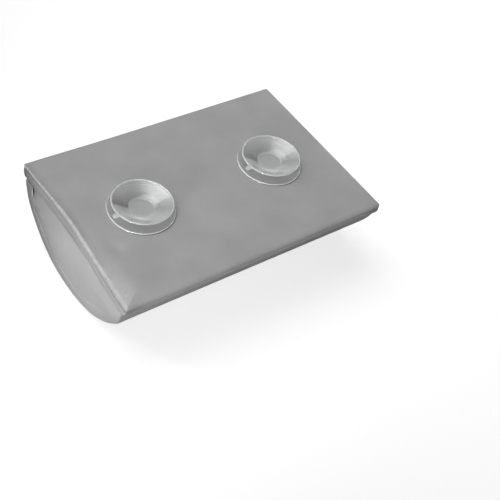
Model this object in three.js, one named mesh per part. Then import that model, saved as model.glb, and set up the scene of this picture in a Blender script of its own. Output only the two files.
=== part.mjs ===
// Bath pillow: a half-round foam block in a sewn vinyl cover, with two clear suction cups
// welded to its flat back. It lies on the crown of its curved front with the flat back up.
// Millimetres, +Z up, +X along the pillow, origin on the ground under its middle.
// Depths are measured down from the flat back, insets are measured in from the outer skin.

import * as THREE from 'three';

// Cover
const coverLength = 280; // of the flat back
const coverWidth = 190;
const coverDepth = 76; // flat back to the ground
const crownPress = 0.5; // how far the pillow's weight presses its crown flat
const sheetThickness = 1.2; // padded vinyl
const clearance = 0.3; // between pieces that bear on each other

// Back panel
const foldRadius = 2; // where the flat back turns down into its skirt
const cornerRadius = 3.5; // of the flat back, seen from above
const leastRadius = 0.5; // of that corner where it is drawn in
const skirtDepth = 12; // flat back to the middle of the seam under the skirt
const skirtLobe = 6; // height over which the skirt is drawn in to that seam
const skirtTuck = 2.2; // how far it is drawn in

// Curved front and its ends
const frontInset = 3; // how far inside the skirt's face it starts
const fullness = 2.2; // exponent of its curve: 2 is an ellipse, more is squarer
const curveRise = 70; // height of that ellipse's middle above the seam: more makes the sides slant
const frontLobe = 6; // height over which it is drawn in to the seam under the skirt
const frontTuck = 1.2; // how far it is drawn in
const endSwell = 3; // how far the end faces stand out beyond the flat back
const endRound = 14; // width of its roll onto each end face
const endRoundDepth = 5; // depth of that roll, along the pillow
const borderFlat = 2.5; // end face between that roll and the end seam
const endPanelRise = 3; // exponent of the end panel's swell: more is flatter in the middle
const endTuck = 1.4; // how far the faces are drawn in at an end seam

// Seam beads
const weltRadius = 0.9;
const weltProud = 0.3; // how far a welt's middle stands out of the bottom of its seam

// Foam
const foamShort = 1; // how far it stops short of the end seams, so that its corners clear the skirt
const foamChamfer = 4; // of its end edges

// Suction cups, with heights above the flat back
const cupSpacing = 145;
const flangeRadius = 31.25;
const flangeThickness = 1.4;
const neckRadius = 10.5;
const neckHeight = 0.6;
const floorRadius = 11.5;
const floorThickness = 1.2;
const dishRadius = 28.5;
const rimHeight = 10.2;
const wallThickness = 1.1;
const lipWidth = 2.2;
const lipHeight = 1.6;
const lipChamfer = 0.4;
const tabLength = 5.4; // beyond the dish
const tabWidth = 5;
const tabThickness = 1;
const tabRootGap = 0.5; // room for the tab to turn at its root
const tabAngle = THREE.MathUtils.degToRad(-171);

// Facets
const frontFacets = 25; // odd, so that a facet lies flat on the crown
const edgeShares = [0, 0.02, 0.05]; // where they start, of the way round from a long edge
const chordFacets = 7; // odd, along the straight edge of an end panel
const cornerFacets = 4;
const rollFacets = 4;
const tuckFacets = 2;
const weltFacets = 8;
const cupFacets = 48;
const tabFacets = 8;
const endPanelRings = [0.3, 0.6, 0.84, 0.96, 1]; // share of the way from middle to edge

// Sizes that follow from those above
const halfLength = coverLength / 2;
const halfWidth = coverWidth / 2;
const seamHalfGap = weltRadius + clearance;
const skirtEdge = skirtDepth - seamHalfGap;
const curveDepth = curveRise + coverDepth + crownPress - skirtDepth;
const curveShare = (1 - (curveRise / curveDepth) ** fullness) ** (1 / fullness);
const curveHalfWidth = (halfWidth - frontInset) / curveShare;
const weltInset = (skirtTuck + frontInset + frontTuck) / 2 - weltProud;
const endReach = halfLength + endSwell;
const borderWidth = endRound + borderFlat;
const foamOffset = sheetThickness + clearance;
const foamEnd = endSwell + skirtTuck + foamOffset + foamShort;
const quarterTurn = Math.PI / 2;

const vinyl = new THREE.MeshStandardMaterial({ color: 0x9c9c9c, roughness: 0.42, metalness: 0 });
const weltVinyl = new THREE.MeshStandardMaterial({ color: 0xa8a8a8, roughness: 0.4, metalness: 0 });
const foam = new THREE.MeshStandardMaterial({ color: 0xe6dfc8, roughness: 0.95, metalness: 0 });
const clearPvc = new THREE.MeshStandardMaterial({
  color: 0xd6dada,
  roughness: 0.12,
  metalness: 0,
  transparent: true,
  opacity: 0.35,
});

// Whole steps from first to last
function steps(first, last, count) {
  return Array.from({ length: count + 1 }, (_, i) => first + (last - first) * i / count);
}

// A skin through closed loops of equal length. Its ends are closed by rungs across the first
// and last loops, or it runs round from the last loop to the first.
function loft(loops, runsRound = false) {
  const size = loops[0].length;
  const last = loops.length - 1;
  const index = [];
  const quad = (a, b, c, d) => index.push(a, b, c, a, c, d);
  const at = (loop, i) => loop * size + i % size;
  for (let loop = 0; loop < (runsRound ? loops.length : last); loop++) {
    const next = (loop + 1) % loops.length;
    for (let i = 0; i < size; i++) {
      quad(at(loop, i), at(loop, i + 1), at(next, i + 1), at(next, i));
    }
  }
  for (let i = 0; !runsRound && i < size / 2 - 1; i++) {
    quad(at(0, i), at(0, size - 1 - i), at(0, size - 2 - i), at(0, i + 1));
    quad(at(last, i), at(last, i + 1), at(last, size - 2 - i), at(last, size - 1 - i));
  }
  const points = loops.flat();
  if (volume(points, index) < 0) {
    index.reverse();
  }
  return new THREE.BufferGeometry().setFromPoints(points).setIndex(index);
}

// Six times the volume inside a skin, positive if its faces point out
function volume(points, index) {
  let sum = 0;
  for (let i = 0; i < index.length; i += 3) {
    const [a, b, c] = [points[index[i]], points[index[i + 1]], points[index[i + 2]]];
    sum += a.dot(new THREE.Vector3().crossVectors(b, c));
  }
  return sum;
}

// How far a lobe is drawn in, at a share from 0 (its full width) to 1 (the seam)
function drawnIn(tuck, share) {
  const within = THREE.MathUtils.clamp(share, 0, 1);
  return tuck * (1 - Math.sqrt(1 - within * within));
}

// The flat back's outline seen from above, at an inset and a depth
function planLoop(inset, depth) {
  const radius = Math.max(cornerRadius - inset, leastRadius);
  const corners = [[1, 1], [-1, 1], [-1, -1], [1, -1]];
  return corners.flatMap(([sideX, sideY], corner) => (
    steps(corner * quarterTurn, (corner + 1) * quarterTurn, cornerFacets).map((turn) => (
      new THREE.Vector3(
        sideX * (halfLength - inset - radius) + radius * Math.cos(turn),
        sideY * (halfWidth - inset - radius) + radius * Math.sin(turn),
        coverDepth - depth,
      )))));
}

// The skirt from the edge of the flat to the seam, as insets and depths, at an offset from the skin
function skirtProfile(offset) {
  const lobeTop = skirtEdge - skirtLobe;
  const foldDepth = Math.min(foldRadius, lobeTop);
  const fold = steps(quarterTurn, 0, rollFacets).map((turn) => [
    foldRadius - (foldRadius - offset) * Math.cos(turn),
    foldDepth - (foldDepth - offset) * Math.sin(turn),
  ]);
  const lobe = steps(0, quarterTurn, rollFacets).slice(1).map((turn) => [
    offset + drawnIn(skirtTuck, Math.sin(turn)),
    lobeTop + skirtLobe * Math.sin(turn),
  ]);
  return [...fold, ...lobe];
}

// A point of the curved front, at a share of the way round from one long edge to the other
function frontPoint(share, x, inset, offset) {
  const power = 2 / fullness;
  const depth = curveDepth - inset;
  const start = Math.asin(((curveRise + seamHalfGap) / depth) ** (1 / power));
  const turn = start + share * (Math.PI - 2 * start);
  const across = Math.sign(Math.cos(turn)) * Math.abs(Math.cos(turn)) ** power;
  const below = Math.sin(turn) ** power * depth - curveRise;
  const tuck = seamPull(below);
  return new THREE.Vector3(
    x * (1 - tuck / endReach),
    across * (curveHalfWidth - inset - tuck),
    coverDepth - Math.min(skirtDepth + below, coverDepth - offset),
  );
}

// How far the curved front and the end panels are drawn in under the skirt, at a depth below its seam
function seamPull(below) {
  return drawnIn(frontTuck, 1 - (below - seamHalfGap) / frontLobe);
}

// Shares of the way round the curved front
function frontShares() {
  const [start] = edgeShares.slice(-1);
  const edge = edgeShares.slice(0, -1);
  const facets = steps(start, 1 - start, frontFacets);
  return [...edge, ...facets, ...edge.map((share) => 1 - share).reverse()];
}

// The curved front's roll onto an end face, as insets and distances from the end
function endRoll(offset) {
  return steps(0, quarterTurn, rollFacets).map((turn) => [
    endRound - (endRound - offset) * Math.sin(turn),
    endRoundDepth - (endRoundDepth - offset) * Math.cos(turn),
  ]);
}

// The flat end face beyond that roll, drawn in to the end seam, from the seam outwards
function endBorder(offset) {
  return steps(quarterTurn, 0, tuckFacets).slice(0, -1).map((turn) => [
    endRound + borderFlat * Math.sin(turn),
    offset + drawnIn(endTuck, Math.sin(turn)),
  ]);
}

// Places along the whole length, from the places at one end
function bothEnds(places) {
  const left = places.map(([inset, fromEnd]) => [inset, fromEnd - endReach]);
  const right = places.map(([inset, fromEnd]) => [inset, endReach - fromEnd]).reverse();
  return [...left, ...right];
}

function backPanel() {
  const outer = skirtProfile(0);
  const inner = skirtProfile(sheetThickness).reverse();
  return loft([...outer, ...inner].map(([inset, depth]) => planLoop(inset, depth)));
}

function frontPanel() {
  const places = (offset) => bothEnds([...endBorder(offset), ...endRoll(offset)]);
  const inner = places(sheetThickness);
  const shares = frontShares();
  return loft(places(0).map(([inset, x], i) => [
    ...shares.map((share) => frontPoint(share, x, inset, 0)),
    ...shares.map((share) => frontPoint(share, inner[i][1], inner[i][0], sheetThickness)).reverse(),
  ]));
}

// The end panel's outline, crown first: up one side, along the straight edge and down the other
function endPanelOutline() {
  const shares = frontShares();
  const half = shares.length / 2;
  const arc = shares.map((share) => frontPoint(share, 0, borderWidth + 2 * seamHalfGap, 0));
  const [start, end] = [arc[0], arc[arc.length - 1]];
  const chord = steps(0, 1, chordFacets).slice(1, -1).map((share) => start.clone().lerp(end, share));
  return [...arc.slice(0, half).reverse(), ...chord, ...arc.slice(half).reverse()];
}

function endPanel(side) {
  const outline = endPanelOutline();
  const box = new THREE.Box3().setFromPoints(outline);
  const middle = box.getCenter(new THREE.Vector3());
  const ring = (share, offset) => outline.map((point) => {
    const place = middle.clone().lerp(point, share);
    const sunk = offset + endTuck * share ** endPanelRise + seamPull(coverDepth - skirtDepth - place.z);
    return place.setX(side * (endReach - sunk));
  });
  const outer = endPanelRings.map((share) => ring(share, 0));
  const inner = endPanelRings.map((share) => ring(share, sheetThickness)).reverse();
  return loft([...outer, ...inner]);
}

function backWelt() {
  const turns = steps(0, 2 * Math.PI, weltFacets).slice(0, -1);
  return loft(turns.map((turn) => planLoop(
    weltInset + weltRadius * Math.cos(turn),
    skirtDepth + weltRadius * Math.sin(turn),
  )), true);
}

function endWelt(side) {
  const around = steps(0, 2 * Math.PI, weltFacets).slice(0, -1);
  return loft(frontShares().map((share) => around.map((angle) => frontPoint(
    share,
    side * (endReach - endTuck + weltProud - weltRadius * Math.sin(angle)),
    borderWidth + seamHalfGap + weltRadius * Math.cos(angle),
    0,
  ))));
}

// One slice of the foam, crown first: up one side, over the flat back and down the other
function foamSlice(inset, x) {
  const shares = frontShares();
  const half = shares.length / 2;
  const arc = shares.map((share) => frontPoint(share, x, inset, foamOffset));
  const beyond = inset - foamOffset;
  const skirt = skirtProfile(foamOffset).map(([skirtInset, depth]) => (
    new THREE.Vector3(x, halfWidth - beyond - skirtInset, coverDepth - depth)));
  const mirrored = skirt.map((point) => point.clone().setY(-point.y));
  return [...arc.slice(0, half).reverse(), ...skirt.reverse(), ...mirrored, ...arc.slice(half).reverse()];
}

function foamCore() {
  const end = [[foamOffset + foamChamfer, foamEnd], [foamOffset, foamEnd + foamChamfer]];
  return loft(bothEnds(end).map(([inset, x]) => foamSlice(inset, x)));
}

// A ring or disc turned about +Z from radii and heights
function turned(profile) {
  const points = profile.map(([radius, height]) => new THREE.Vector2(radius, height));
  return new THREE.LatheGeometry(points, cupFacets).rotateX(quarterTurn);
}

const floorUnder = flangeThickness + neckHeight;
const floorTop = floorUnder + floorThickness;

function cupBase() {
  return turned([
    [0, 0],
    [flangeRadius, 0],
    [flangeRadius, flangeThickness],
    [neckRadius, flangeThickness],
    [neckRadius, floorUnder],
    [floorRadius, floorUnder],
    [floorRadius, floorTop],
    [0, floorTop],
  ]);
}

function cupWall() {
  const inner = floorRadius + clearance;
  const outer = dishRadius - lipWidth - clearance;
  const outerTop = rimHeight - (lipHeight - wallThickness) / 2;
  return turned([
    [inner, floorTop - wallThickness],
    [outer, outerTop - wallThickness],
    [outer, outerTop],
    [inner, floorTop],
    [inner, floorTop - wallThickness],
  ]);
}

function cupLip() {
  const inner = dishRadius - lipWidth;
  const under = rimHeight - lipHeight;
  return turned([
    [inner, under],
    [dishRadius - lipChamfer, under],
    [dishRadius, under + lipChamfer],
    [dishRadius, rimHeight],
    [inner, rimHeight],
    [inner, under],
  ]);
}

function pullTab() {
  const halfTab = tabWidth / 2;
  const outline = new THREE.Shape();
  outline.moveTo(dishRadius + tabRootGap, -halfTab);
  outline.absarc(dishRadius + tabLength - halfTab, 0, halfTab, -quarterTurn, quarterTurn);
  outline.lineTo(dishRadius + tabRootGap, halfTab);
  const form = { depth: tabThickness, bevelEnabled: false, curveSegments: tabFacets };
  return new THREE.ExtrudeGeometry(outline, form).translate(0, 0, rimHeight - tabThickness);
}

function named(name, geometry, material) {
  const mesh = new THREE.Mesh(geometry, material);
  mesh.name = name;
  return mesh;
}

function suctionCup(name, x) {
  const cup = new THREE.Group();
  cup.position.set(x, 0, coverDepth);
  cup.rotation.z = tabAngle;
  cup.add(
    named(`${name}_cup_base`, cupBase(), clearPvc),
    named(`${name}_cup_wall`, cupWall(), clearPvc),
    named(`${name}_cup_lip`, cupLip(), clearPvc),
    named(`${name}_pull_tab`, pullTab(), clearPvc),
  );
  return cup;
}

const bathPillow = new THREE.Group();
bathPillow.add(
  named('foam_core', foamCore(), foam),
  named('back_panel', backPanel(), vinyl),
  named('front_panel', frontPanel(), vinyl),
  named('left_end_panel', endPanel(-1), vinyl),
  named('right_end_panel', endPanel(1), vinyl),
  named('back_welt', backWelt(), weltVinyl),
  named('left_end_welt', endWelt(-1), weltVinyl),
  named('right_end_welt', endWelt(1), weltVinyl),
  suctionCup('left', -cupSpacing / 2),
  suctionCup('right', cupSpacing / 2),
);

export default bathPillow;
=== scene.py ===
# Bath pillow: padded vinyl cover over foam, two clear suction cups on the flat back
import bpy
import math
from mathutils import Matrix, Vector, noise


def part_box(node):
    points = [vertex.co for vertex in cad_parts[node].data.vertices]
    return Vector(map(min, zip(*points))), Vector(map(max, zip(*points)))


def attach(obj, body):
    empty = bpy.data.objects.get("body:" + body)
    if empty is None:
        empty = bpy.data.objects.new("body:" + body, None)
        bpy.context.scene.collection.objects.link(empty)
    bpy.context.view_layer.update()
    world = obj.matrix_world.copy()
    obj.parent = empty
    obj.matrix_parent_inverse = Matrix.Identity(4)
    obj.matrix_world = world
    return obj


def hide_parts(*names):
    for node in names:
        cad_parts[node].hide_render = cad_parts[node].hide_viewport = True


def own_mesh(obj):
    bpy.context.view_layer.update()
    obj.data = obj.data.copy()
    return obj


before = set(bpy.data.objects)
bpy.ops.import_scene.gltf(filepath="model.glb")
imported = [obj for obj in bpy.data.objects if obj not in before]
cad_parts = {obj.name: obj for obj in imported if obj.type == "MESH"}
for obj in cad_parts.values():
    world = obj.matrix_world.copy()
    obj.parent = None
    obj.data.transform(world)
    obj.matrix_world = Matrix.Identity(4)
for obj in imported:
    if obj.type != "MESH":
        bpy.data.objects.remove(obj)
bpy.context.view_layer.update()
print("frame loaded:", len(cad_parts), "nodes")

mm = 0.001
quarterTurn = math.pi / 2
joinGap = 0.01 * mm  # points of a moulding or tube closer than this become one

# the pillow's main sizes come from the frame
weltLow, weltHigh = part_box("back_welt")
halfLength, halfWidth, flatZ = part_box("back_panel")[1]
seamZ = (weltLow.z + weltHigh.z) / 2
skirtDepth = flatZ - seamZ
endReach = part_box("front_panel")[1].x

cover = {
    "thickness": 1.2 * mm,
    "seamHalfGap": 0.8 * mm,
    "allowance": 2 * mm,  # sheet turned in at a seam
    "frontLeft": (-halfLength, -halfWidth),
    "backLeft": (-halfLength, halfWidth),
    "seamReach": halfLength - 1 * mm,  # where the end faces meet the skirt
    "endLobe": 22 * mm,  # height over which they are drawn in to it
}


def onlySelect(piece):
    bpy.ops.object.select_all(action="DESELECT")
    piece.select_set(True)
    bpy.context.view_layer.objects.active = piece


def applyModifiers(piece):
    onlySelect(piece)
    for modifier in list(piece.modifiers):
        bpy.ops.object.modifier_apply(modifier=modifier.name)


def applyPlace(piece):
    onlySelect(piece)
    bpy.ops.object.transform_apply(location=True, rotation=True, scale=True)


# even values from first to last, both among them
def steps(first, last, count):
    return [first + (last - first) * i / count for i in range(count + 1)]


# a soft rise from 0 to 1
def ease(share):
    within = min(max(share, 0), 1)
    return within * within * (3 - 2 * within)


# a quarter round: nothing at share 0, the whole tuck at share 1
def drawnIn(tuck, share):
    within = min(max(share, 0), 1)
    return tuck * (1 - math.sqrt(1 - within * within))


# 1 at a corner, less around it
def closeTo(x, y, corner, reach):
    return math.exp(-((x - corner[0]) ** 2 + (y - corner[1]) ** 2) / reach ** 2)


# 1 at the seam under the skirt, 0 from a share of the skirt's depth above it
def nearSeam(z, share):
    return ease(1 - (z - seamZ) / (skirtDepth * share))


# how far hand sewing has drawn the cover out of true, mostly at its left end
sewing = {
    "endReach": 60 * mm,
    "edgeReach": 25 * mm,
    "turnShare": 0.75,  # of the skirt, up from its seam, is drawn with the seam
    "low": 3 * mm,  # the seam runs this much lower along the end
    "fade": 35 * mm,  # height under the seam over which this is lost
    "flare": 2.2 * mm,  # how far the skirt stands out at that seam
    "flareFrom": -15 * mm,  # from here towards the front
    "flareReach": 40 * mm,
    "bow": 2.6 * mm,  # how far the fold is drawn in between its corners
    "bowPlace": 25 * mm,
    "bowReach": 45 * mm,
    "bowDepth": 40 * mm,
    "ear": 1.6 * mm,  # how far the front corner stands out
    "earReach": 50 * mm,
    "cornerPull": 4.5 * mm,  # how far it is drawn back at the seam
    "cornerReach": 35 * mm,
    "frontBow": 2 * mm,  # how far the front skirt is drawn in
}


def sewn(point):
    x, y, z = point
    turned = nearSeam(z, sewing["turnShare"])
    fade = 1 - ease((seamZ - z) / sewing["fade"])
    atEnd = ease((-x - halfLength) / sewing["endReach"] + 1)
    atLeft = ease((-x - halfLength) / sewing["edgeReach"] + 1)
    atFront = ease((-y - halfWidth) / sewing["edgeReach"] + 1)
    nearCorner = closeTo(x, y, cover["frontLeft"], sewing["cornerReach"])
    flare = sewing["flare"] * turned * ease((sewing["flareFrom"] - y) / sewing["flareReach"])
    bow = sewing["bow"] * math.exp(-((y - sewing["bowPlace"]) / sewing["bowReach"]) ** 2)
    bow *= 1 - ease((flatZ - z) / sewing["bowDepth"])
    ear = sewing["ear"] * closeTo(x, y, cover["frontLeft"], sewing["earReach"])
    pull = sewing["cornerPull"] * nearCorner * (1 + turned) / 2 + sewing["frontBow"]
    return Vector((
        x + atLeft * bow - fade * (atEnd * flare + atLeft * ear),
        y + fade * atFront * pull,
        z - fade * atEnd * turned * sewing["low"]))


# a flat grid laid over the foam: layOn gives the place of each column and row
def cutSheet(name, columns, rows, layOn):
    bpy.ops.object.select_all(action="DESELECT")
    bpy.ops.mesh.primitive_grid_add(x_subdivisions=columns, y_subdivisions=rows, size=2)
    sheet = bpy.context.object
    sheet.name = name
    for vertex in sheet.data.vertices:
        column = round((vertex.co.x + 1) / 2 * columns)
        row = round((vertex.co.y + 1) / 2 * rows)
        vertex.co = layOn(column, row)
    return sheet


# a value at each corner of the mesh that its material reads
def mark(piece, name, amount):
    values = piece.data.attributes.new(name, "FLOAT", "POINT").data
    for vertex in piece.data.vertices:
        values[vertex.index].value = amount(vertex)


def facesOut(piece, inside):
    mesh = piece.data
    outward = sum(face.area * face.normal.dot(face.center - inside) for face in mesh.polygons)
    if outward < 0:
        onlySelect(piece)
        bpy.ops.object.mode_set(mode="EDIT")
        bpy.ops.mesh.select_all(action="SELECT")
        bpy.ops.mesh.flip_normals()
        bpy.ops.object.mode_set(mode="OBJECT")


cushioning = {
    "frames": 20,
    "pressure": 4,
    "mass": 0.0005,
    "tension": 5,
    "bending": 0.05,
    "most": 1.5 * mm,  # how far any point may move
    "skirtMost": 0.8 * mm,
    "joinGap": 0.005 * mm,  # points of a sheet closer than this become one
}


# lets the foam push a sheet out between its seams, as a cloth held along them
def settle(piece, holds, most):
    scene = bpy.context.scene
    onlySelect(piece)
    bpy.ops.object.mode_set(mode="EDIT")
    bpy.ops.mesh.select_all(action="SELECT")
    bpy.ops.mesh.remove_doubles(threshold=cushioning["joinGap"])
    bpy.ops.object.mode_set(mode="OBJECT")
    group = piece.vertex_groups.new(name="held")
    before = [vertex.co.copy() for vertex in piece.data.vertices]
    for vertex in piece.data.vertices:
        group.add([vertex.index], min(max(holds(vertex), 0), 1), "REPLACE")
    cloth = piece.modifiers.new("cloth", "CLOTH")
    settings = cloth.settings
    settings.vertex_group_mass = "held"
    settings.mass = cushioning["mass"]
    settings.tension_stiffness = cushioning["tension"]
    settings.compression_stiffness = cushioning["tension"]
    settings.shear_stiffness = cushioning["tension"]
    settings.bending_stiffness = cushioning["bending"]
    settings.use_pressure = True
    settings.uniform_pressure_force = cushioning["pressure"]
    settings.effector_weights.gravity = 0
    cloth.collision_settings.use_collision = False
    cloth.point_cache.frame_start = 1
    cloth.point_cache.frame_end = cushioning["frames"]
    for number in range(1, cushioning["frames"] + 1):
        scene.frame_set(number)
    applyModifiers(piece)
    scene.frame_set(1)
    piece.vertex_groups.clear()
    moved = 0
    for vertex, start in zip(piece.data.vertices, before):
        step = vertex.co - start
        moved = max(moved, step.length)
        if step.length > most:
            vertex.co = start + step * (most / step.length)
        vertex.co.z = max(vertex.co.z, 0)
    print(piece.name, "settled, most moved mm:", round(moved / mm, 2))


def thicken(piece):
    smooth = piece.modifiers.new("smooth", "SUBSURF")
    smooth.levels = smooth.render_levels = 1
    wall = piece.modifiers.new("wall", "SOLIDIFY")
    wall.thickness = cover["thickness"]
    wall.offset = -1
    applyModifiers(piece)
    bpy.ops.object.shade_smooth()


# joins the edges of a sheet that was rolled into a tube, and closes its open ends
def closeTube(piece):
    onlySelect(piece)
    bpy.ops.object.mode_set(mode="EDIT")
    bpy.ops.mesh.select_all(action="SELECT")
    bpy.ops.mesh.remove_doubles(threshold=joinGap)
    bpy.ops.mesh.fill_holes(sides=0)
    bpy.ops.mesh.select_all(action="SELECT")
    bpy.ops.mesh.normals_make_consistent(inside=False)
    bpy.ops.object.mode_set(mode="OBJECT")


def dress(piece, body, slot, material, *nodes):
    piece.data.materials.clear()
    piece.data.materials.append(material)
    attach(piece, body)
    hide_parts(*nodes)


# materials

def startMaterial(name):
    material = bpy.data.materials.new(name)
    material.use_nodes = True
    nodes = material.node_tree.nodes
    links = material.node_tree.links
    return material, nodes, links, nodes["Principled BSDF"]


vinylLook = {
    "tone": 0.285,
    "weltTone": 0.31,
    "mottle": (26, 26, 26),  # waves per metre, as for the next three
    "grain": (1500, 1500, 1500),
    "gathers": (110, 430, 110),  # across the end folds
    "lines": (330, 22, 22),  # round the curved front
    "detail": {"mottle": 5, "grain": 3, "gathers": 3, "lines": 2},
    "mottleRange": (0.35, 0.65),  # of the noise
    "mottleSpan": 0.05,
    "speck": 120,
    "speckSize": 0.045,
    "speckShare": 0.9,
    "speckDepth": 0.5,
    "paintedShadeDepth": 0.58,  # how much darker the painted shade makes creases, seams and faces that get less light
    "gatherShading": 0.8,  # painted highlight and shade streaks: how much the tone varies with the gathers
    "bumpDepth": 1 * mm,
    "grainHeight": 0.02,  # shares of that depth
    "gatherHeight": 1.4,
    "lineHeight": 0.06,
    "roughness": 0.34,
}


def calculate(nodes, links, operation, first, second):
    node = nodes.new("ShaderNodeMath")
    node.operation = operation
    for socket, value in zip(node.inputs, (first, second)):
        if isinstance(value, (int, float)):
            socket.default_value = value
        else:
            links.new(value, socket)
    return node.outputs[0]


def readMark(nodes, name):
    node = nodes.new("ShaderNodeAttribute")
    node.attribute_name = name
    return node.outputs["Fac"]


def mixShaders(nodes, links, share, first, second):
    mix = nodes.new("ShaderNodeMixShader")
    for socket, source in zip(mix.inputs, (share, first.outputs[0], second.outputs[0])):
        links.new(source, socket)
    return mix


# noise at so many waves per metre along x, y and z
def stretchedNoise(nodes, links, place, scale, detail):
    stretch = nodes.new("ShaderNodeMapping")
    stretch.inputs["Scale"].default_value = scale
    links.new(place, stretch.inputs["Vector"])
    waves = nodes.new("ShaderNodeTexNoise")
    waves.inputs["Scale"].default_value = 1
    waves.inputs["Detail"].default_value = detail
    links.new(stretch.outputs["Vector"], waves.inputs["Vector"])
    return waves.outputs["Fac"]


def makeVinyl(name, tone):
    material, nodes, links, shader = startMaterial(name)
    look = vinylLook
    place = nodes.new("ShaderNodeTexCoord").outputs["Object"]

    def waves(kind):
        return stretchedNoise(nodes, links, place, look[kind], look["detail"][kind])

    def figure(operation, first, second):
        return calculate(nodes, links, operation, first, second)

    low, high = look["mottleRange"]
    mottled = nodes.new("ShaderNodeMapRange")
    mottled.inputs["From Min"].default_value = low
    mottled.inputs["From Max"].default_value = high
    mottled.inputs["To Min"].default_value = tone * (1 - look["mottleSpan"])
    mottled.inputs["To Max"].default_value = tone * (1 + look["mottleSpan"])
    links.new(waves("mottle"), mottled.inputs["Value"])
    cells = nodes.new("ShaderNodeTexVoronoi")
    cells.inputs["Scale"].default_value = look["speck"]
    links.new(place, cells.inputs["Vector"])
    chosen = nodes.new("ShaderNodeSeparateColor")
    links.new(cells.outputs["Color"], chosen.inputs["Color"])
    rare = figure("GREATER_THAN", chosen.outputs["Red"], look["speckShare"])
    dot = figure("LESS_THAN", cells.outputs["Distance"], look["speckSize"])
    speckShade = figure("MULTIPLY", figure("MULTIPLY", rare, dot), look["speckDepth"])
    # painted shade: darker where the mesh is marked, in creases, along seams and on faces that get less
    # light
    paintedShadeTone = figure("MULTIPLY", readMark(nodes, "paintedShade"), look["paintedShadeDepth"])
    left = figure("SUBTRACT", 1, figure("ADD", speckShade, paintedShadeTone))
    gathers = waves("gathers")
    # painted highlight and shade streaks that follow the gathers' bumps
    paintedGatherShading = figure("MULTIPLY", readMark(nodes, "gathered"), look["gatherShading"])
    paintedStreak = figure("MULTIPLY", figure("SUBTRACT", gathers, 0.5), paintedGatherShading)  # 0.5 is the noise's middle
    colour = figure("MULTIPLY", mottled.outputs["Result"], figure("ADD", left, paintedStreak))
    links.new(colour, shader.inputs["Base Color"])
    height = figure("MULTIPLY", waves("grain"), look["grainHeight"])
    marks = ((gathers, "gathered", "gatherHeight"), (waves("lines"), "lined", "lineHeight"))
    for ridges, where, most in marks:
        marked = figure("MULTIPLY", readMark(nodes, where), look[most])
        height = figure("ADD", height, figure("MULTIPLY", ridges, marked))
    bump = nodes.new("ShaderNodeBump")
    bump.inputs["Distance"].default_value = look["bumpDepth"]
    links.new(height, bump.inputs["Height"])
    links.new(bump.outputs["Normal"], shader.inputs["Normal"])
    shader.inputs["Roughness"].default_value = look["roughness"]
    return material


pvcLook = {
    "colour": (0.84, 0.855, 0.855, 1),
    "roughness": 0.4,
    "clear": 0.98,  # how much light it lets through where no shade is painted on it
    "milk": 0.08,
    "rimMilk": 0.25,  # the rim and the tab are thicker, so milkier
    "polish": 0.06,  # roughness of its gloss
    "leastGloss": 0.045,
    "grazing": 5,  # how late the gloss grows towards grazing angles
}


def makeClearPvc(name, milk):
    material, nodes, links, body = startMaterial(name)
    body.inputs["Base Color"].default_value = pvcLook["colour"]
    body.inputs["Roughness"].default_value = pvcLook["roughness"]
    body.inputs["Specular IOR Level"].default_value = 0
    through = nodes.new("ShaderNodeBsdfTransparent")
    # painted shade in the dish and a painted contact shadow round the flange let less light through
    clear = calculate(nodes, links, "SUBTRACT", pvcLook["clear"], readMark(nodes, "paintedCupShade"))
    links.new(clear, through.inputs["Color"])
    # milkier in its thicker parts, and where a reflection and a highlight are painted on the dish's wall
    milkAndHighlightShare = calculate(nodes, links, "ADD", readMark(nodes, "milkAndHighlight"), milk)
    sheet = mixShaders(nodes, links, milkAndHighlightShare, through, body)
    gloss = nodes.new("ShaderNodeBsdfGlossy")
    gloss.inputs["Roughness"].default_value = pvcLook["polish"]
    facing = nodes.new("ShaderNodeLayerWeight").outputs["Facing"]  # the same on both faces of the sheet
    share = nodes.new("ShaderNodeMapRange")
    share.inputs["To Min"].default_value = pvcLook["leastGloss"]
    links.new(calculate(nodes, links, "POWER", facing, pvcLook["grazing"]), share.inputs["Value"])
    surface = mixShaders(nodes, links, share.outputs["Result"], sheet, gloss)
    links.new(surface.outputs[0], nodes["Material Output"].inputs["Surface"])
    return material


foamLook = {
    "cells": 900,
    "tones": ((0.62, 0.56, 0.42, 1), (0.80, 0.74, 0.58, 1)),  # in the cells and on their walls
    "bump": 0.4,
    "bumpDepth": 0.3 * mm,
    "roughness": 0.95,
}


def makeFoam():
    material, nodes, links, shader = startMaterial("foam")
    place = nodes.new("ShaderNodeTexCoord")
    cells = nodes.new("ShaderNodeTexVoronoi")
    cells.inputs["Scale"].default_value = foamLook["cells"]
    links.new(place.outputs["Object"], cells.inputs["Vector"])
    tone = nodes.new("ShaderNodeValToRGB")
    for stop, colour in zip(tone.color_ramp.elements, foamLook["tones"]):
        stop.color = colour
    links.new(cells.outputs["Distance"], tone.inputs["Fac"])
    links.new(tone.outputs["Color"], shader.inputs["Base Color"])
    bump = nodes.new("ShaderNodeBump")
    bump.inputs["Strength"].default_value = foamLook["bump"]
    bump.inputs["Distance"].default_value = foamLook["bumpDepth"]
    links.new(cells.outputs["Distance"], bump.inputs["Height"])
    links.new(bump.outputs["Normal"], shader.inputs["Normal"])
    shader.inputs["Roughness"].default_value = foamLook["roughness"]
    return material


vinyl = makeVinyl("vinyl", vinylLook["tone"])
weltVinyl = makeVinyl("welt", vinylLook["weltTone"])
clearPvc = makeClearPvc("clear_pvc", pvcLook["milk"])
rimPvc = makeClearPvc("clear_pvc_rim", pvcLook["rimMilk"])
foam = makeFoam()
print("materials mixed")

# back panel: flat sheet folded down all round

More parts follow.
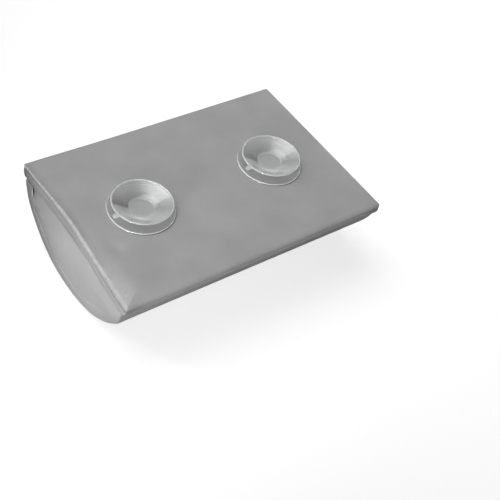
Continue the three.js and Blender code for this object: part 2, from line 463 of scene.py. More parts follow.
backPanel = {
    "cornerRadius": 3 * mm,
    "leastRadius": 0.5 * mm,
    "flatEdge": 24 * mm,  # inset of the last even row on the flat
    "shoulder": 16 * mm,  # width of the soft slope between it and the fold
    "shoulderDrop": 3 * mm,  # of that slope, at the front left corner
    "shoulderReach": 60 * mm,
    "shoulderSteps": 7,
    "fold": 4 * mm,
    "foldCrisp": 2.5 * mm,  # how much sharper it is at the back left corner
    "foldSteps": 7,
    "ridge": 0.2 * mm,  # how far the fold stands proud along the end faces
    "crease": [  # under the fold: insets and depths in mm
        (0.7, 0.45), (1.25, 0.9), (1.35, 1.3), (0.95, 1.8), (0.45, 2.6), (0.12, 3.4),
    ],
    "sideCrease": 0.3,  # how much of it the long sides have
    "shadeDrop": 1.3 * mm,  # the painted shade in the crease is darkest this far under the fold
    "shadeReach": 1.2 * mm,
    "shadeBand": 7 * mm,  # width of the band at each end that has this
    "shadeEdge": 1.2 * mm,  # the same at the seam, all round
    "skirtShade": 0.3,  # painted shade on the skirt along the ends
    "cornerShade": 0.8,  # and at the back left corner
    "cornerShadeReach": 30 * mm,
    "gatherReach": 4 * mm,
    "heldDrop": 2.2 * mm,  # under the fold, where the cloth is let go
    "heldShare": 0.25,  # of the skirt, up from its seam, where it is held again
    "lobeSteps": 5,
    "tuck": 1.7 * mm,
    "rowGap": 2.1 * mm,
    "columnGap": 5 * mm,
    "puckerGap": 3.4 * mm,
    "puckerLength": 4,  # times as long as they are apart
    "puckerSlice": 3,  # of the noise that shapes them
    "puckerReach": 6 * mm,
    "pucker": 0.35 * mm,
    "dentPlace": (-116.5 * mm, -31.5 * mm),
    "dentReach": 7 * mm,
    "dent": 1 * mm,
}


# how far the flat slopes down to the fold, and the fold's radius
def foldAt(x, y):
    drop = backPanel["shoulderDrop"] * closeTo(x, y, cover["frontLeft"], backPanel["shoulderReach"])
    crisp = backPanel["foldCrisp"] * closeTo(x, y, cover["backLeft"], backPanel["shoulderReach"])
    return drop, backPanel["fold"] - crisp


# the skirt from the flat to its seam, as insets and depths: facing is 1 on the ends, less on the sides
def skirtRings(x, y, facing):
    drop, radius = foldAt(x, y)
    tilt = math.atan(2 * drop / backPanel["shoulder"])
    top = radius * (1 - math.sin(tilt))
    ridge = backPanel["ridge"] * facing
    edge = skirtDepth - cover["seamHalfGap"]
    rings = [(backPanel["flatEdge"], 0)]
    for share in steps(1, 0, backPanel["shoulderSteps"])[:-1]:
        across = share * share
        rings.append((top + backPanel["shoulder"] * across, drop * (1 - across) ** 2))
    for turn in steps(tilt, quarterTurn, backPanel["foldSteps"]):
        sine = math.sin(turn)
        cosine = math.cos(turn)
        proud = ridge * math.sin(2 * (turn - tilt))
        depth = drop + radius * (math.cos(tilt) - cosine) - proud * cosine
        rings.append((radius * (1 - sine) - proud * sine, depth))
    foldEnd = rings[-1][1]
    for inset, down in backPanel["crease"]:
        rings.append((inset * mm * facing, foldEnd + down * mm))
    lobeTop = rings[-1][1]
    for turn in steps(0, quarterTurn, backPanel["lobeSteps"])[1:]:
        share = math.sin(turn)
        rings.append((drawnIn(backPanel["tuck"], share), lobeTop + (edge - lobeTop) * share))
    rings.append((backPanel["tuck"] + cover["allowance"], edge))
    return rings


# gathers along the end folds and a soft dent on the flat
def pucker(point):
    x, y, z = point
    gap = backPanel["puckerGap"]
    down = flatZ - z
    near = math.exp(-((halfLength - abs(x) + down) / backPanel["puckerReach"]) ** 2)
    place = Vector((y / gap, x / (backPanel["puckerLength"] * gap), backPanel["puckerSlice"]))
    raised = backPanel["pucker"] * near * noise.noise(place)
    dent = closeTo(x, y, backPanel["dentPlace"], backPanel["dentReach"]) * ease(1 - down / mm)
    return Vector((x, y, z + raised - backPanel["dent"] * dent))


def makeBackPanel():
    innerX = halfLength - backPanel["flatEdge"]
    innerY = halfWidth - backPanel["flatEdge"]
    columns = round(2 * innerX / backPanel["columnGap"])
    rows = round(2 * innerY / backPanel["rowGap"])
    skirt = len(skirtRings(0, 0, 0)) - 1
    corner = backPanel["cornerRadius"]

    def layOn(column, row):
        alongX = column - skirt
        alongY = row - skirt
        beyondX = max(-alongX, alongX - columns, 0)
        beyondY = max(-alongY, alongY - rows, 0)
        x = -innerX + 2 * innerX * min(max(alongX, 0), columns) / columns
        y = -innerY + 2 * innerY * min(max(alongY, 0), rows) / rows
        ring = max(beyondX, beyondY)
        if ring == 0:
            return sewn(pucker(Vector((x, y, flatZ))))
        if beyondX and beyondY:
            share = min(beyondX, beyondY) / ring / 2
            turn = quarterTurn * (share if beyondX >= beyondY else 1 - share)
        else:
            turn = 0 if beyondX else quarterTurn
        edgeX = math.copysign(halfLength, x) if beyondX else x
        edgeY = math.copysign(halfWidth, y) if beyondY else y
        facing = backPanel["sideCrease"] + (1 - backPanel["sideCrease"]) * math.cos(turn) ** 2
        inset, depth = skirtRings(edgeX, edgeY, facing)[ring]
        radius = max(corner - inset, backPanel["leastRadius"])
        if beyondX:
            x = math.copysign(halfLength - inset - radius + radius * math.cos(turn), x)
        if beyondY:
            y = math.copysign(halfWidth - inset - radius + radius * math.sin(turn), y)
        return sewn(pucker(Vector((x, y, flatZ - depth))))

    # painted shade: darker in the crease under the end folds, on the skirt along the ends and at the back
    # left corner, and along the seam
    def paintedShade(vertex):
        x, y, z = vertex.co
        crease = flatZ - sum(foldAt(x, y)) - backPanel["shadeDrop"]
        onEnd = ease((abs(x) - halfLength + backPanel["shadeBand"]) / mm)
        line = onEnd * math.exp(-((z - crease) / backPanel["shadeReach"]) ** 2)
        edge = sewn(Vector((x, y, seamZ + cover["seamHalfGap"]))).z
        skirt = backPanel["cornerShade"] * closeTo(x, y, cover["backLeft"], backPanel["cornerShadeReach"])
        skirt = max(skirt, onEnd * backPanel["skirtShade"]) * ease((crease - z) / mm)
        return max(line, skirt, math.exp(-((z - edge) / backPanel["shadeEdge"]) ** 2))

    def gathered(vertex):
        x, y, z = vertex.co
        edge = sewn(Vector((math.copysign(halfLength, x), y, flatZ))).x
        fromFold = abs(edge - x) + flatZ - z
        nearFront = closeTo(x, y, cover["frontLeft"], backPanel["shoulderReach"])
        reach = backPanel["gatherReach"] * (1 + nearFront)
        return math.exp(-(fromFold / reach) ** 2)

    def holds(vertex):
        x, y, z = vertex.co
        creaseEnd = sum(foldAt(x, y)) + backPanel["heldDrop"]
        return max(ease(1 - (flatZ - z - creaseEnd) / mm), nearSeam(z, backPanel["heldShare"]))

    piece = cutSheet("padded_back", columns + 2 * skirt, rows + 2 * skirt, layOn)
    facesOut(piece, Vector((0, 0, seamZ)))
    mark(piece, "paintedShade", paintedShade)
    mark(piece, "gathered", gathered)
    settle(piece, holds, cushioning["skirtMost"])
    thicken(piece)
    dress(piece, "pillow", "vinyl", vinyl, "back_panel")


makeBackPanel()
print("back panel laid")

# front panel: curved sheet, rolled onto the end faces

frontPanel = {
    "inset": 3 * mm,  # how far inside the skirt's face it starts
    "fullness": 2.2,  # 2 is an ellipse, more is squarer
    "rise": 70 * mm,  # the ellipse's middle lies this far above the seam
    "crownPress": 0.5 * mm,
    "lobe": 6 * mm,
    "lobeShare": 0.05,
    "lobeSteps": 5,
    "tuck": 1.2 * mm,
    "endRound": 14 * mm,
    "endRoundDepth": 5 * mm,
    "rollSteps": 8,
    "borderFlat": 2.5 * mm,
    "borderSteps": 2,
    "endTuck": 1.8 * mm,
    "narrow": 0.3,  # how much narrower the border gets where it meets the skirt
    "narrowShare": 0.1,
    "tautFrom": 0.38,  # where along its arc the end seam begins to lie flat
    "tautSpan": 0.2,
    "taut": 0.95,
    "paintedShade": 0.8,  # how dark the painted shade on the border is where it meets the skirt at the back
    "shadeReach": 135 * mm,
    "shadeRoll": 4 * mm,  # depth of the rolled edge over which that comes in
    "shadeEdge": 0.55,  # and along the end seam, where that lies deep
    "linedReach": 20 * mm,  # the lines round the front fade this near its ends
    "heldSkirt": 5 * mm,  # the cloth is held this near the skirt's seam
    "heldEnd": 3 * mm,  # from this depth into the rolled ends
    "heldFloor": 1.5 * mm,  # and where it lies on the ground
    "arcColumns": 70,
    "rowGap": 4 * mm,
}
fullness = frontPanel["fullness"]
borderWidth = frontPanel["endRound"] + frontPanel["borderFlat"]
curveDepth = frontPanel["rise"] + seamZ + frontPanel["crownPress"]
curveShare = (1 - (frontPanel["rise"] / curveDepth) ** fullness) ** (1 / fullness)
curveHalfWidth = (halfWidth - frontPanel["inset"]) / curveShare


# how far the front is drawn in under the skirt
def seamPull(below):
    return drawnIn(frontPanel["tuck"], 1 - (below - cover["seamHalfGap"]) / frontPanel["lobe"])


# the same for what stands out beyond the skirt at the ends
def endPull(x, below):
    beyond = max(abs(x) - cover["seamReach"], 0)
    share = min(max(1 - (below - cover["seamHalfGap"]) / cover["endLobe"], 0), 1)
    return math.copysign(abs(x) - beyond * share * share, x)


# share runs round the curve from one long edge to the other
def frontPoint(share, x, inset):
    power = 2 / fullness
    depth = curveDepth - inset
    start = math.asin(((frontPanel["rise"] + cover["seamHalfGap"]) / depth) ** (1 / power))
    turn = start + share * (math.pi - 2 * start)
    across = math.copysign(abs(math.cos(turn)) ** power, math.cos(turn))
    below = math.sin(turn) ** power * depth - frontPanel["rise"]
    y = across * (curveHalfWidth - inset - seamPull(below))
    return Vector((endPull(x, below), y, max(seamZ - below, 0)))


# a point on the end border, which narrows towards the skirt
def borderPoint(share, x, inset):
    near = math.exp(-(min(share, 1 - share) / frontPanel["narrowShare"]) ** 2)
    return frontPoint(share, x, inset * (1 - frontPanel["narrow"] * near))


# how deep the end seam lies: full at the back, shallow at the front
def seamDepth(share):
    return 1 - frontPanel["taut"] * ease((share - frontPanel["tautFrom"]) / frontPanel["tautSpan"])


def arcShares():
    lobe = [frontPanel["lobeShare"] * (1 - math.cos(turn))
            for turn in steps(0, quarterTurn, frontPanel["lobeSteps"])]
    middle = steps(frontPanel["lobeShare"], 1 - frontPanel["lobeShare"], frontPanel["arcColumns"])
    return lobe[:-1] + middle + [1 - share for share in reversed(lobe[:-1])]


# from an end seam outwards: insets, places along the pillow and how far they are tucked in
def endPlaces():
    places = [(borderWidth, endReach, frontPanel["endTuck"] + cover["allowance"])]
    for turn in steps(quarterTurn, 0, frontPanel["borderSteps"])[:-1]:
        inset = frontPanel["endRound"] + frontPanel["borderFlat"] * math.sin(turn)
        places.append((inset, endReach, drawnIn(frontPanel["endTuck"], math.sin(turn))))
    for turn in steps(0, quarterTurn, frontPanel["rollSteps"]):
        inset = frontPanel["endRound"] * (1 - math.sin(turn))
        places.append((inset, endReach - frontPanel["endRoundDepth"] * (1 - math.cos(turn)), 0))
    return places


def makeFrontPanel():
    shares = arcShares()
    ends = endPlaces()
    straight = 2 * (endReach - frontPanel["endRoundDepth"])
    count = round(straight / frontPanel["rowGap"])
    places = [(inset, -x, tucked) for inset, x, tucked in ends]
    places += [(0, x, 0) for x in steps(-straight / 2, straight / 2, count)[1:-1]]
    places += reversed(ends)

    # the first and last columns are turned in under the skirt
    def shareAt(column):
        return shares[min(max(column - 1, 0), len(shares) - 1)]

    def layOn(column, row):
        share = shareAt(column)
        inset, x, tucked = places[row]
        x -= math.copysign(tucked * seamDepth(share), x)
        point = borderPoint(share, x, inset)
        if column in (0, len(shares) + 1):
            point.y -= math.copysign(cover["allowance"], point.y)
            point.x -= math.copysign(min(cover["allowance"], max(abs(x) - straight / 2, 0)), x)
        return sewn(point)

    def lined(vertex):
        return ease((straight / 2 - abs(vertex.co.x)) / frontPanel["linedReach"])

    # painted shade on the border, darker towards the back and along its seam
    def paintedShade(vertex):
        row, column = divmod(vertex.index, len(shares) + 2)
        onBorder = ease((abs(places[row][1]) - straight / 2) / frontPanel["shadeRoll"])
        back = frontPanel["paintedShade"] * onBorder * ease((vertex.co.y - halfWidth) / frontPanel["shadeReach"] + 1)
        if min(row, len(places) - 1 - row) > frontPanel["borderSteps"]:
            return back
        return max(back, frontPanel["shadeEdge"] * seamDepth(shareAt(column)))

    def holds(vertex):
        atSkirt = ease(1 - (seamZ - vertex.co.z) / frontPanel["heldSkirt"])
        atEnd = ease((abs(vertex.co.x) - straight / 2) / frontPanel["heldEnd"])
        atFloor = ease((frontPanel["heldFloor"] - vertex.co.z) / mm)
        return max(atSkirt, atEnd, atFloor)

    piece = cutSheet("padded_front", len(shares) + 1, len(places) - 1, layOn)
    facesOut(piece, Vector((0, 0, seamZ / 2)))
    mark(piece, "lined", lined)
    mark(piece, "paintedShade", paintedShade)
    settle(piece, holds, cushioning["most"])
    thicken(piece)
    dress(piece, "pillow", "vinyl", vinyl, "front_panel")


makeFrontPanel()
print("front panel laid")

# end panels: half-round sheets, crowned between their seams

endPanel = {
    "grid": 48,
    "middle": 0.56,  # height of its middle, as a share of the seam's
    "rise": 3,  # how late it drops from there to its edge
    "tuck": 0.8 * mm,
    "recess": 0.7 * mm,  # under the back left corner of the skirt
    "recessReach": 45 * mm,
    "seamGap": 1.4 * mm,
    "lap": 0.8,  # how much of that gap is closed at the back corner
    "lapShare": 0.14,
    "paintedShade": 0.8,  # how dark the painted shade along its edge is towards the back
    "shadeFrom": -45.6 * mm,
    "shadeReach": 57 * mm,
    "shade": 0.45,  # and its back corner
    "deepShade": 0.95,  # and the very tip of that, under the skirt
    "deepReach": 14 * mm,
    "straight": 0.25,  # share of its edge that runs under the skirt
}
sides = {"left": -1, "right": 1}  # and which way each end faces along x


# round an end seam, at so many gap widths from the border
def besideSeam(share, x, gaps):
    return borderPoint(share, x, borderWidth + endPanel["seamGap"] * gaps * seamDepth(share))


# an end panel's edge along the arc, which laps under the seam bead at the back corner
def endArc(share):
    return besideSeam(share, 0, 1 - endPanel["lap"] * math.exp(-(share / endPanel["lapShare"]) ** 2))


# where on the arc a share of the whole edge is
def arcShare(share):
    return (share - endPanel["straight"]) / (1 - endPanel["straight"])


# share runs round the edge: first along the straight part, then round the arc
def endOutline(share):
    if share < endPanel["straight"]:
        return endArc(1).lerp(endArc(0), share / endPanel["straight"])
    return endArc(arcShare(share))


def makeEndPanel(side, outward):
    grid = endPanel["grid"]
    half = grid // 2
    middle = Vector((0, 0, seamZ * endPanel["middle"]))
    backCorner = endArc(0).yz

    def layOn(column, row):
        u = column - half
        v = row - half
        ring = max(abs(u), abs(v))
        if ring == 0:
            return Vector((outward * endReach, middle.y, middle.z))
        u, v = u / ring, v / ring
        turnedIn = cover["allowance"] if ring == half else 0
        ring = min(ring / (half - 1), 1)
        if v == 1:
            quarter, along = 0, u
        elif u == 1:
            quarter, along = 1, -v
        elif v == -1:
            quarter, along = 2, -u
        else:
            quarter, along = 3, v
        share = quarter / 4 + (along + 1) / 8
        point = middle.lerp(endOutline(share), ring)
        sunk = endPanel["tuck"] * ring ** endPanel["rise"] + turnedIn
        if share > endPanel["straight"]:
            sunk *= seamDepth(arcShare(share))
        sunk += endPanel["recess"] * closeTo(point.y, point.z, backCorner, endPanel["recessReach"])
        point.x = outward * (endPull(endReach, seamZ - point.z) - sunk)
        return sewn(point)

    def onEdge(vertex):
        row, column = divmod(vertex.index, grid + 1)
        return max(abs(row - half), abs(column - half)) >= half - 1

    def holds(vertex):
        return 1 if onEdge(vertex) else 0

    # painted shade along the seam, where it lies deep, and under the skirt's back corner
    def paintedShade(vertex):
        y, z = vertex.co.yz
        deep = ease((y - endPanel["shadeFrom"]) / endPanel["shadeReach"])
        edge = endPanel["paintedShade"] * deep if onEdge(vertex) else 0
        shade = endPanel["shade"] * closeTo(y, z, backCorner, endPanel["recessReach"])
        tip = endPanel["deepShade"] * closeTo(y, z, backCorner, endPanel["deepReach"])
        return max(edge, shade, tip)

    piece = cutSheet("padded_" + side + "_end", grid, grid, layOn)
    facesOut(piece, Vector((0, 0, seamZ / 2)))
    mark(piece, "paintedShade", paintedShade)
    settle(piece, holds, cushioning["most"])
    thicken(piece)
    dress(piece, "pillow", "vinyl", vinyl, side + "_end_panel")


for side, outward in sides.items():
    makeEndPanel(side, outward)
print("end panels laid")

# seam beads

welt = {
    "radius": 0.72 * mm,
    "cornerRadius": 2.16 * mm,
    "inset": 2.7 * mm,  # of the long seam, from the skirt's face
    "endSunk": 3.3 * mm,  # of the end seams, from the end faces
    "endProud": 1.5 * mm,  # how much less near the skirt
    "endProudShare": 0.1,
    "around": 12,
    "cornerSteps": 6,
    "edgeSteps": 24,
    "arcSteps": 72,
}


# the seam under the skirt, seen from above
def seamLoop(inset):
    radius = welt["cornerRadius"]
    left = -halfLength + inset + radius
    front = -halfWidth + inset + radius
    corners = [(-left, -front, 0), (left, -front, 1), (left, front, 2), (-left, front, 3)]
    points = []
    for (x, y, quarter), (nextX, nextY, _) in zip(corners, corners[1:] + corners[:1]):
        for turn in steps(quarter * quarterTurn, (quarter + 1) * quarterTurn, welt["cornerSteps"]):
            points.append((x + radius * math.cos(turn), y + radius * math.sin(turn)))
        startX, startY = points[-1]
        stopX = startX + nextX - x
        stopY = startY + nextY - y
        for share in steps(0, 1, welt["edgeSteps"])[1:-1]:
            points.append((startX + (stopX - startX) * share, startY + (stopY - startY) * share))
    return points + points[:1]


def makeBackWelt():
    turns = steps(0, 2 * math.pi, welt["around"])
    loops = [seamLoop(welt["inset"] + welt["radius"] * math.cos(turn)) for turn in turns]

    def layOn(column, row):
        x, y = loops[column][row]
        return sewn(Vector((x, y, seamZ + welt["radius"] * math.sin(turns[column]))))

    piece = cutSheet("back_bead", welt["around"], len(loops[0]) - 1, layOn)
    closeTube(piece)
    bpy.ops.object.shade_smooth()
    dress(piece, "pillow", "welt", weltVinyl, "back_welt")


def makeEndWelt(side, outward):
    turns = steps(0, 2 * math.pi, welt["around"])
    shares = steps(0, 1, welt["arcSteps"])

    def layOn(column, row):
        proud = welt["endProud"] * math.exp(-(shares[row] / welt["endProudShare"]) ** 2)
        x = endReach - welt["endSunk"] + proud + welt["radius"] * math.sin(turns[column])
        across = welt["radius"] * math.cos(turns[column]) / endPanel["seamGap"]
        return sewn(besideSeam(shares[row], outward * x, 0.5 + across))  # in the middle of the gap

    piece = cutSheet(side + "_end_bead", welt["around"], welt["arcSteps"], layOn)
    closeTube(piece)
    bpy.ops.object.shade_smooth()
    dress(piece, "pillow", "welt", weltVinyl, side + "_end_welt")


makeBackWelt()
for side, outward in sides.items():
    makeEndWelt(side, outward)
print("seam beads run")

# foam block inside the cover

foamBlock = {
    "inset": 5 * mm,
    "endInset": 9 * mm,
    "arcSteps": 40,
    "flatSteps": 24,
    "lengthSteps": 40,
    "endRound": 6 * mm,
    "endSteps": 4,
}


def foamSection(inset):
    arc = [frontPoint(share, 0, inset) for share in steps(0, 1, foamBlock["arcSteps"])]
    top = flatZ - inset
    flat = [Vector((0, y, top)) for y in steps(arc[-1].y, arc[0].y, foamBlock["flatSteps"])]
    return arc + flat + arc[:1]


def makeFoamBlock():
    reach = endReach - foamBlock["endInset"]
    ends = [(foamBlock["inset"] + foamBlock["endRound"] * (1 - math.sin(turn)),
             reach - foamBlock["endRound"] * (1 - math.cos(turn)))
            for turn in steps(0, quarterTurn, foamBlock["endSteps"])]
    straight = ends[-1][1]
    places = [(inset, -x) for inset, x in ends]
    places += [(foamBlock["inset"], x) for x in steps(-straight, straight, foamBlock["lengthSteps"])[1:-1]]
    places += reversed(ends)
    sections = [foamSection(inset) for inset, x in places]

    def layOn(column, row):
        point = sections[row][column].copy()
        point.x = places[row][1]
        return sewn(point)

    piece = cutSheet("padded_core", len(sections[0]) - 1, len(places) - 1, layOn)
    closeTube(piece)
    bpy.ops.object.shade_smooth()
    dress(piece, "pillow", "foam", foam, "foam_core")


makeFoamBlock()
print("foam block cut")

# suction cups, turned from profiles: radii and heights in mm above the flat back

cup = {
    "segments": 192,
    "smoothAngle": math.radians(50),
    "lift": 0.05 * mm,
    "travel": 6 * mm,
    # the first points of the base make a thin film round the flange that carries its painted contact shadow
    "base": [
        (32.0, 0), (32.0, 0.05), (31.3, 0.08), (31.25, 0.7), (31.05, 1.2), (30.6, 1.4), (30.0, 1.3),
        (29.4, 1.2), (13.0, 1.2), (11.6, 1.3), (10.9, 1.6), (11.2, 2.0), (12.4, 2.35), (16.8, 4.45),
        (21.4, 6.6), (26.9, 9.2), (26.95, 9.6), (26.8, 10.1), (21.4, 7.65), (17.5, 5.85), (17.0, 5.8),
        (16.5, 5.4), (12.5, 3.5), (11.9, 3.3), (11.5, 3.35), (11.1, 3.3), (10.7, 3.1), (9, 3.05),
    ],
    "lip": [
        (27.05, 9.3), (27.3, 9.05), (27.8, 9.0), (28.25, 9.1), (28.5, 9.5), (28.45, 9.9), (28.25, 10.15),
        (27.9, 10.2), (27.4, 10.18), (27.1, 10.0), (27.05, 9.65), (27.05, 9.3),
    ],
    "dishLow": 2 * mm,  # all above this is the dish
    "edgeMilk": 0.35,  # of the flange's edge
    "edgeRadius": 30.8 * mm,
    "edgeLow": 0.3 * mm,
    "floorMilk": 0.12,
    "floorRadius": 11.6 * mm,
    "floorLow": 2.5 * mm,
    "ringMilk": 0.3,  # of the step round the floor
    "ringRadius": 11.3 * mm,
    "flangeShadow": 0.62,  # painted contact shadow: a dark film round the flange, darkest on one side
    "flangeShadowAngle": math.radians(-80),
    "flangeShadowSpan": math.radians(45),
    "flangeShadowRadius": 31.27 * mm,
    "flangeShadowLow": 0.03 * mm,
    "shadeWedge": 0.42,  # painted shade: a dark wedge in the dish, sharp at its angle and fading over its span
    "shadeWedgeAngle": math.radians(161),
    "shadeWedgeSpan": math.radians(-25),
    "dishShadeRadii": (12 * mm, 28 * mm),
    "wedgeEdge": math.radians(-10),  # edge of the painted reflection wedge: painted shade on one side, the painted reflection on the other
    "shade": 0.12,
    "shadeSpan": math.radians(-38),
    # painted reflection: a milkier wedge on the dish's wall, beside its edge
    "reflectionWedge": 0.04,
    "reflectionWedgeSpan": math.radians(55),
    "backShade": 0.1,  # painted shade on the back of the dish, beside the dark wedge
    "backShadeAngle": math.radians(100),
    "backShadeSpan": math.radians(40),
    "nearMilk": 0.12,  # of the near wall
    "nearAngle": math.radians(-115),
    "nearSpan": math.radians(60),
    "stepHighlight": 0.34,  # painted highlight on the moulded step on it
    "arcAngle": math.radians(-128),
    "arcSpan": math.radians(28),
    "arcRadii": (16.4 * mm, 17.6 * mm),
    "arcLow": 5 * mm,
    "tickHeight": 0.12 * mm,
    "tickRadii": (30.2 * mm, 31.2 * mm),
    "tickLow": 1 * mm,
    "tabAngle": math.radians(-171),
    "tabRoot": 29 * mm,
    "tabLength": 4.9 * mm,
    "tabWidth": 5 * mm,
    "tabThickness": 1 * mm,
    "tabTop": 10.2 * mm,
    "tabRound": 2.35 * mm,  # of the corners of its tip
    "tabRoundSteps": 8,
    "tabEdge": 0.3 * mm,
    "tabEdgeSteps": 3,
}


# a ring of edges drawn out from step to step of a profile
def turnMoulding(name, middle, profile, filled):
    radius, height = profile[0]
    bpy.ops.object.select_all(action="DESELECT")
    bpy.ops.mesh.primitive_circle_add(
        vertices=cup["segments"], radius=radius * mm, fill_type="NGON" if filled else "NOTHING",
        location=middle + Vector((0, 0, height * mm)))
    piece = bpy.context.object
    piece.name = name
    applyPlace(piece)
    bpy.ops.object.mode_set(mode="EDIT")
    bpy.ops.mesh.select_all(action="SELECT")
    for nextRadius, nextHeight in profile[1:]:
        raised = (0, 0, (nextHeight - height) * mm)
        bpy.ops.mesh.extrude_region_move(TRANSFORM_OT_translate={"value": raised})
        spread = nextRadius / radius
        bpy.ops.transform.resize(value=(spread, spread, 1), center_override=middle)
        radius, height = nextRadius, nextHeight
    bpy.ops.mesh.select_all(action="SELECT")
    bpy.ops.mesh.remove_doubles(threshold=joinGap)
    bpy.ops.mesh.normals_make_consistent(inside=False)
    bpy.ops.object.mode_set(mode="OBJECT")
    bpy.ops.object.shade_smooth_by_angle(angle=cup["smoothAngle"])
    return piece


# small ticks of the weld round the flange's edge
def markWeld(piece, middle):
    low, high = cup["tickRadii"]
    for vertex in piece.data.vertices:
        out = vertex.co - middle
        radius = math.hypot(out.x, out.y)
        if low < radius < high and out.z > cup["tickLow"]:
            place = round(math.atan2(out.y, out.x) / (2 * math.pi) * cup["segments"])
            vertex.co.z -= cup["tickHeight"] * (place % 2)


def angleFrom(out, angle):
    return (math.atan2(out.y, out.x) - angle + math.pi) % (2 * math.pi) - math.pi


# 1 at an angle round the cup, less to its sides
def around(out, angle, span):
    return math.exp(-(angleFrom(out, angle) / span) ** 2)


# 1 at an angle round the cup, less to the side that span points to and nothing to the other
def beside(out, angle, span):
    return around(out, angle, span) if angleFrom(out, angle) * span >= 0 else 0


# how much milkier the moulding is in its thicker parts, the flange's edge and the dish's floor, and on its
# near wall; with a painted highlight on a step on its wall and a painted reflection wedge
def milkAndHighlightAt(out):
    radius = math.hypot(out.x, out.y)
    low, high = cup["arcRadii"]
    if radius > cup["edgeRadius"] and out.z > cup["edgeLow"]:
        return cup["edgeMilk"]
    if radius < cup["floorRadius"] and out.z > cup["floorLow"]:
        return cup["ringMilk"] if radius > cup["ringRadius"] else cup["floorMilk"]
    if out.z < cup["dishLow"]:
        return 0
    milk = cup["nearMilk"] * around(out, cup["nearAngle"], cup["nearSpan"])
    # painted reflection wedge
    milk += cup["reflectionWedge"] * beside(out, cup["wedgeEdge"], cup["reflectionWedgeSpan"])
    # painted highlight on the step
    if low < radius < high and out.z > cup["arcLow"]:
        milk += cup["stepHighlight"] * around(out, cup["arcAngle"], cup["arcSpan"])
    return milk


# painted shade in the dish, a dark wedge and its back, and a painted contact shadow round the flange
def cupShadeAt(out):
    radius = math.hypot(out.x, out.y)
    low, high = cup["dishShadeRadii"]
    # painted contact shadow round the flange
    if radius > cup["flangeShadowRadius"] and out.z > cup["flangeShadowLow"]:
        return cup["flangeShadow"] * around(out, cup["flangeShadowAngle"], cup["flangeShadowSpan"])
    if not low < radius < high or out.z < cup["dishLow"]:
        return 0
    # painted shade in the dish
    dishShade = cup["shadeWedge"] * beside(out, cup["shadeWedgeAngle"], cup["shadeWedgeSpan"])
    dishShade += cup["shade"] * beside(out, cup["wedgeEdge"], cup["shadeSpan"])
    return dishShade + cup["backShade"] * around(out, cup["backShadeAngle"], cup["backShadeSpan"])


def makeTab(name, middle):
    bpy.ops.object.select_all(action="DESELECT")
    bpy.ops.mesh.primitive_cube_add(size=1)
    tab = bpy.context.object
    tab.name = name
    tab.scale = (cup["tabLength"], cup["tabWidth"], cup["tabThickness"])
    tab.location = (cup["tabRoot"] + cup["tabLength"] / 2, 0, cup["tabTop"] - cup["tabThickness"] / 2)
    applyPlace(tab)
    bpy.ops.object.mode_set(mode="EDIT")
    bpy.ops.mesh.select_mode(type="EDGE")
    bpy.ops.mesh.select_all(action="DESELECT")
    bpy.ops.object.mode_set(mode="OBJECT")
    for edge in tab.data.edges:  # the two upright edges of its tip
        first, second = [tab.data.vertices[index].co for index in edge.vertices]
        atTip = min(first.x, second.x) > cup["tabRoot"] + cup["tabLength"] / 2
        edge.select = atTip and abs(first.z - second.z) > cup["tabThickness"] / 2
    bpy.ops.object.mode_set(mode="EDIT")
    bpy.ops.mesh.bevel(offset=cup["tabRound"], segments=cup["tabRoundSteps"])
    bpy.ops.object.mode_set(mode="OBJECT")
    rounding = tab.modifiers.new("rounding", "BEVEL")
    rounding.width = cup["tabEdge"]
    rounding.segments = cup["tabEdgeSteps"]
    rounding.limit_method = "ANGLE"
    applyModifiers(tab)
    tab.rotation_euler.z = cup["tabAngle"]
    tab.location = middle
    applyPlace(tab)
    bpy.ops.object.shade_smooth_by_angle(angle=cup["smoothAngle"])
    return tab


def makeCup(side):
    low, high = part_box(side + "_cup_base")
    middle = Vector(((low.x + high.x) / 2, (low.y + high.y) / 2, flatZ + cup["lift"]))
    base = turnMoulding(side + "_cup", middle, cup["base"], True)
    markWeld(base, middle)
    # milkier parts with a painted highlight and reflection, then painted shade and shadow, as marks its
    # material reads
    mark(base, "milkAndHighlight", lambda vertex: milkAndHighlightAt(vertex.co - middle))
    mark(base, "paintedCupShade", lambda vertex: cupShadeAt(vertex.co - middle))
    dress(base, "pillow", "clear_pvc", clearPvc, side + "_cup_base", side + "_cup_wall")
    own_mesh(base)
    lip = turnMoulding(side + "_lip_ring", middle, cup["lip"], False)
    dress(lip, side + "_lip", "clear_pvc", rimPvc, side + "_cup_lip")
    tab = makeTab(side + "_tongue", middle)
    dress(tab, side + "_tab", "clear_pvc", rimPvc, side + "_pull_tab")


for side in sides:
    makeCup(side)
print("cups moulded")

# stage

studio = {
    "floorSize": 12,
    "floorBounce": 0.2,  # tone of the floor as it lights the pillow
    "floorTone": 0.45,  # tone of the floor as it is seen
    "floorGlow": 0.65,
    "worldLevel": 0.18,
    "ceiling": 0.35,  # brightness of the room overhead as glossy things show it
    "horizon": (0.25, 0.6),  # it is white up to the first height, then darkens to the second
    "softboxes": {
        "overhead": {
            "place": (0.05, 0.50, 1.14), "aim": (0.6, 0, 0.04),
            "size": 1.3, "spread": 90, "power": 5.85,
        },
        "left": {
            "place": (-0.95, -0.52, 0.24), "aim": (-0.14, -0.07, 0.04),
            "size": 0.3, "spread": 22, "power": 0.42,
        },
        "edge": {
            "place": (-0.80, 0.51, 0.63), "aim": (-0.14, 0, 0.07),
            "size": 0.22, "spread": 30, "power": 0.1,
        },
        "right": {
            "place": (1.05, -0.25, 0.09), "aim": (0.14, 0, 0.04),
            "size": 0.4, "spread": 30, "power": 0.4,
        },
    },
}


# 1 for rays that see the background, straight or through something clear
def seenRays(nodes, links):
    rays = nodes.new("ShaderNodeLightPath").outputs
    return calculate(nodes, links, "MAXIMUM", rays["Is Camera Ray"], rays["Is Transmission Ray"])


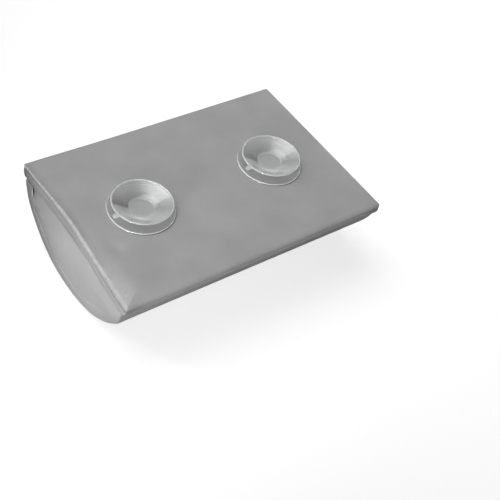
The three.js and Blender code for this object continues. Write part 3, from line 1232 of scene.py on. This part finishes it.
def makeFloor():
    bpy.ops.object.select_all(action="DESELECT")
    bpy.ops.mesh.primitive_plane_add(size=studio["floorSize"])
    floor = bpy.context.object
    floor.name = "floor"
    material, nodes, links, shader = startMaterial("floor")
    nodes.remove(shader)
    bounce = nodes.new("ShaderNodeBsdfDiffuse")
    bounce.inputs["Color"].default_value = (studio["floorBounce"],) * 3 + (1,)
    paper = nodes.new("ShaderNodeBsdfDiffuse")
    paper.inputs["Color"].default_value = (studio["floorTone"],) * 3 + (1,)
    glow = nodes.new("ShaderNodeEmission")
    glow.inputs["Strength"].default_value = studio["floorGlow"]
    white = nodes.new("ShaderNodeAddShader")
    links.new(paper.outputs[0], white.inputs[0])
    links.new(glow.outputs[0], white.inputs[1])
    mix = mixShaders(nodes, links, seenRays(nodes, links), bounce, white)
    links.new(mix.outputs[0], nodes["Material Output"].inputs["Surface"])
    floor.data.materials.append(material)


def hangSoftboxes():
    for name, box in studio["softboxes"].items():
        data = bpy.data.lights.new(name, "AREA")
        data.size = box["size"]
        data.spread = math.radians(box["spread"])
        data.energy = box["power"]
        lamp = bpy.data.objects.new(name, data)
        lamp.location = box["place"]
        aim = Vector(box["aim"]) - lamp.location
        lamp.rotation_euler = aim.to_track_quat("-Z", "Y").to_euler()
        bpy.context.scene.collection.objects.link(lamp)


def makeWorld():
    world = bpy.data.worlds.new("studio")
    bpy.context.scene.world = world
    world.use_nodes = True
    nodes = world.node_tree.nodes
    links = world.node_tree.links
    background = nodes["Background"]
    background.inputs["Color"].default_value = (1, 1, 1, 1)
    place = nodes.new("ShaderNodeTexCoord")
    axes = nodes.new("ShaderNodeSeparateXYZ")
    links.new(place.outputs["Generated"], axes.inputs[0])
    low, high = studio["horizon"]
    room = nodes.new("ShaderNodeMapRange")
    room.inputs["From Min"].default_value = low
    room.inputs["From Max"].default_value = high
    room.inputs["To Min"].default_value = 1
    room.inputs["To Max"].default_value = studio["ceiling"]
    links.new(axes.outputs["Z"], room.inputs["Value"])
    lit = nodes.new("ShaderNodeMix")
    lit.inputs["A"].default_value = studio["worldLevel"]
    links.new(nodes.new("ShaderNodeLightPath").outputs["Is Glossy Ray"], lit.inputs["Factor"])
    links.new(room.outputs["Result"], lit.inputs["B"])
    level = nodes.new("ShaderNodeMix")
    level.inputs["B"].default_value = 1
    links.new(seenRays(nodes, links), level.inputs["Factor"])
    links.new(lit.outputs["Result"], level.inputs["A"])
    links.new(level.outputs["Result"], background.inputs["Strength"])


viewpoint = {
    "place": (-0.4718, -0.5102, 0.7328),
    "aim": (-0.0115, -0.0843, 0.0760),
    "roll": 15.58,  # degrees
    "lens": 73.87,  # in mm, as the sensor is
    "sensor": 36,
}


def makeCamera():
    data = bpy.data.cameras.new("camera")
    data.sensor_width = viewpoint["sensor"]
    data.lens = viewpoint["lens"]
    camera = bpy.data.objects.new("camera", data)
    place = Vector(viewpoint["place"])
    aim = Vector(viewpoint["aim"]) - place
    turn = aim.to_track_quat("-Z", "Y").to_matrix().to_4x4()
    roll = Matrix.Rotation(math.radians(viewpoint["roll"]), 4, "Z")
    camera.matrix_world = Matrix.Translation(place) @ turn @ roll
    bpy.context.scene.collection.objects.link(camera)
    bpy.context.scene.camera = camera


makeFloor()
hangSoftboxes()
makeWorld()
makeCamera()
bpy.context.scene.view_settings.view_transform = "Standard"
print("stage set")
